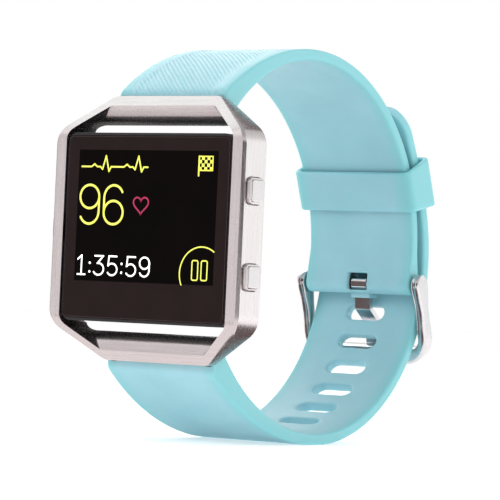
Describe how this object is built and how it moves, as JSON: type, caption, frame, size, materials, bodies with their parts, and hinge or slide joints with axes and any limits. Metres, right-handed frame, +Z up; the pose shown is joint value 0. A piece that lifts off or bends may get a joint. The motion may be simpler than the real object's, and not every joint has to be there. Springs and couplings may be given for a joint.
{
  "type": "fitness tracker band",
  "caption": "Smartwatch-type fitness tracker: a square touch-screen module in an open octagonal steel frame, on a silicone strap closed in a loop by a pin buckle and keeper.",
  "frame": {"origin": "on the surface the closed strap stands on, below the middle of the loop's bounding box", "axes": "+Z up towards the 12 o'clock side, -Y out of the display, +X towards the side with two buttons"},
  "size_m": [0.048, 0.081, 0.0781],
  "materials": {
    "steel": "brushed, bevels polished",
    "button_steel": "satin",
    "polished_steel": "polished",
    "silicone": "soft matte silicone",
    "case_plastic": "matte",
    "cover_glass": "gloss, opaque where the display is off",
    "sensor_glass": "gloss",
    "gasket": "matte",
    "key_rubber": "matte",
    "display": "gloss",
    "board": "satin solder mask",
    "battery_foil": "satin pouch",
    "motor_can": "satin",
    "switch_body": "matte",
    "led": "clear lens",
    "diode": "gloss",
    "contact_gold": "plated",
    "small_steel": "satin"
  },
  "bodies": {
    "frame": {"frame_ring": "steel", "upper_strap": "silicone", "lower_strap": "silicone", "upper_bar": "small_steel", "lower_bar": "small_steel", "upper_bar_spring": "small_steel", "lower_bar_spring": "small_steel", "upper_right_spring": "small_steel", "lower_right_spring": "small_steel", "left_spring": "small_steel", "buckle_bar": "small_steel"},
    "tracker": {"tracker_case": "case_plastic", "cover_glass": "cover_glass", "cover_gasket": "gasket", "display_panel": "display", "circuit_board": "board", "battery": "battery_foil", "vibration_motor": "motor_can", "upper_right_switch": "switch_body", "lower_right_switch": "switch_body", "left_switch": "switch_body", "sensor_board": "board", "sensor_leds": "led", "photodiode": "diode", "sensor_window": "sensor_glass", "back_seal": "gasket", "back_cover": "case_plastic", "charge_contacts": "contact_gold", "cover_screws": "small_steel"},
    "upper_right_button": {"upper_right_button": "button_steel", "upper_right_clip": "small_steel"},
    "lower_right_button": {"lower_right_button": "button_steel", "lower_right_clip": "small_steel"},
    "left_button": {"left_button": "button_steel", "left_clip": "small_steel"},
    "upper_right_key": {"upper_right_key": "key_rubber"},
    "lower_right_key": {"lower_right_key": "key_rubber"},
    "left_key": {"left_key": "key_rubber"},
    "upper_pin": {"upper_bar_pin": "small_steel"},
    "lower_pin": {"lower_bar_pin": "small_steel"},
    "keeper": {"keeper_loop": "silicone"},
    "buckle": {"buckle_frame": "polished_steel"},
    "tang": {"buckle_tang": "polished_steel"}
  },
  "joints": [
    {"name": "upper_right_button_press", "type": "slide", "parent": "frame", "child": "upper_right_button", "axis": [-1, 0, 0], "range_m": [0, 0.0004], "stiffness_N_per_m": 1500, "springref_m": -0.0004, "deforming": ["upper_right_spring"]},
    {"name": "upper_right_key_press", "type": "slide", "parent": "tracker", "child": "upper_right_key", "axis": [-1, 0, 0], "range_m": [0, 0.0004]},
    {"name": "lower_right_button_press", "type": "slide", "parent": "frame", "child": "lower_right_button", "axis": [-1, 0, 0], "range_m": [0, 0.0004], "stiffness_N_per_m": 1500, "springref_m": -0.0004, "deforming": ["lower_right_spring"]},
    {"name": "lower_right_key_press", "type": "slide", "parent": "tracker", "child": "lower_right_key", "axis": [-1, 0, 0], "range_m": [0, 0.0004]},
    {"name": "left_button_press", "type": "slide", "parent": "frame", "child": "left_button", "axis": [1, 0, 0], "range_m": [0, 0.0004], "stiffness_N_per_m": 1500, "springref_m": -0.0004, "deforming": ["left_spring"]},
    {"name": "left_key_press", "type": "slide", "parent": "tracker", "child": "left_key", "axis": [1, 0, 0], "range_m": [0, 0.0004]},
    {"name": "tracker_release", "type": "slide", "parent": "frame", "child": "tracker", "axis": [0, 1, 0], "range_m": [0, 0.014]},
    {"name": "upper_bar_release", "type": "slide", "parent": "frame", "child": "upper_pin", "axis": [-1, 0, 0], "range_m": [0, 0.0014], "stiffness_N_per_m": 500, "springref_m": -0.001, "deforming": ["upper_bar_spring"]},
    {"name": "lower_bar_release", "type": "slide", "parent": "frame", "child": "lower_pin", "axis": [-1, 0, 0], "range_m": [0, 0.0014], "stiffness_N_per_m": 500, "springref_m": -0.001, "deforming": ["lower_bar_spring"]},
    {"name": "keeper_slide", "type": "hinge", "parent": "frame", "child": "keeper", "pos_m": [0, -0.004, 0.0395], "axis": [1, 0, 0], "range_deg": [-5, 5]},
    {"name": "buckle_swing", "type": "hinge", "parent": "frame", "child": "buckle", "pos_m": [0, 0.0334, 0.0327], "axis": [1, 0, 0], "range_deg": [0, 3]},
    {"name": "tang_swing", "type": "hinge", "parent": "buckle", "child": "tang", "pos_m": [0, 0.0334, 0.0327], "axis": [1, 0, 0], "range_deg": [0, 3]}
  ],
  "couplings": [
    {"joint": "upper_right_key_press", "follows": "upper_right_button_press", "ratio": 1},
    {"joint": "lower_right_key_press", "follows": "lower_right_button_press", "ratio": 1},
    {"joint": "left_key_press", "follows": "left_button_press", "ratio": 1}
  ]
}
